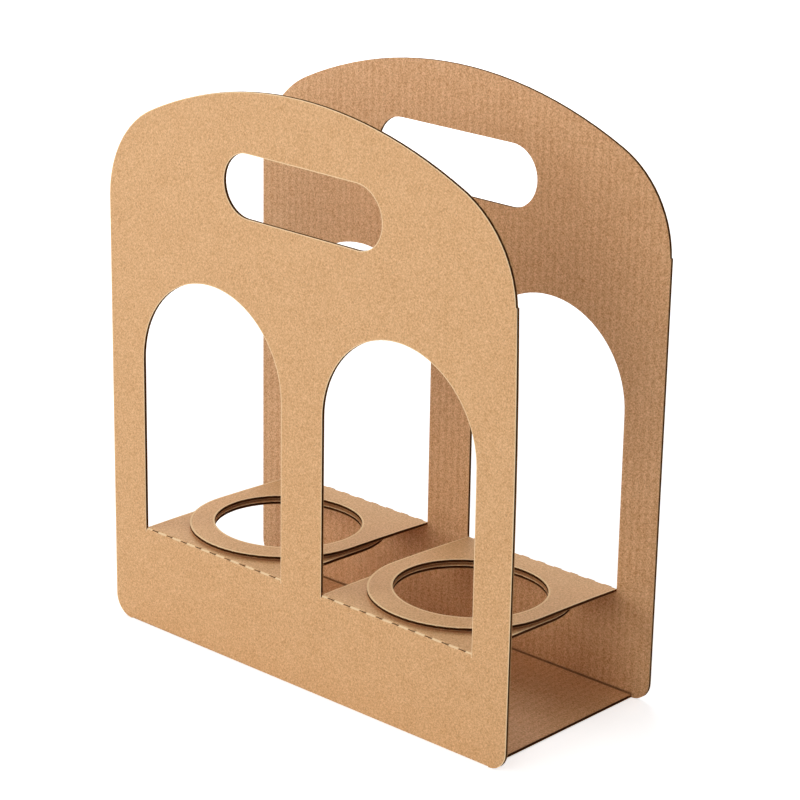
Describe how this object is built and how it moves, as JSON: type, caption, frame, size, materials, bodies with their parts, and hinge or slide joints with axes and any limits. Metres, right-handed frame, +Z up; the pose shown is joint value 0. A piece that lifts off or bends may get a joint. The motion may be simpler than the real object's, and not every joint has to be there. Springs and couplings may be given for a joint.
{
  "type": "cup carrier",
  "caption": "Plain cardboard cup carrier with windows, folded flaps that hold cups by their sides, and a hand hole in each raised panel.",
  "frame": {"origin": "middle of the floor's underside, where the carrier stands", "axes": "+X along the width, +Y from the front panel to the back panel, +Z up"},
  "size_m": [0.24, 0.1011, 0.2655],
  "materials": {
    "board": "matte"
  },
  "bodies": {
    "root": {"carrier": "board"}
  },
  "joints": []
}
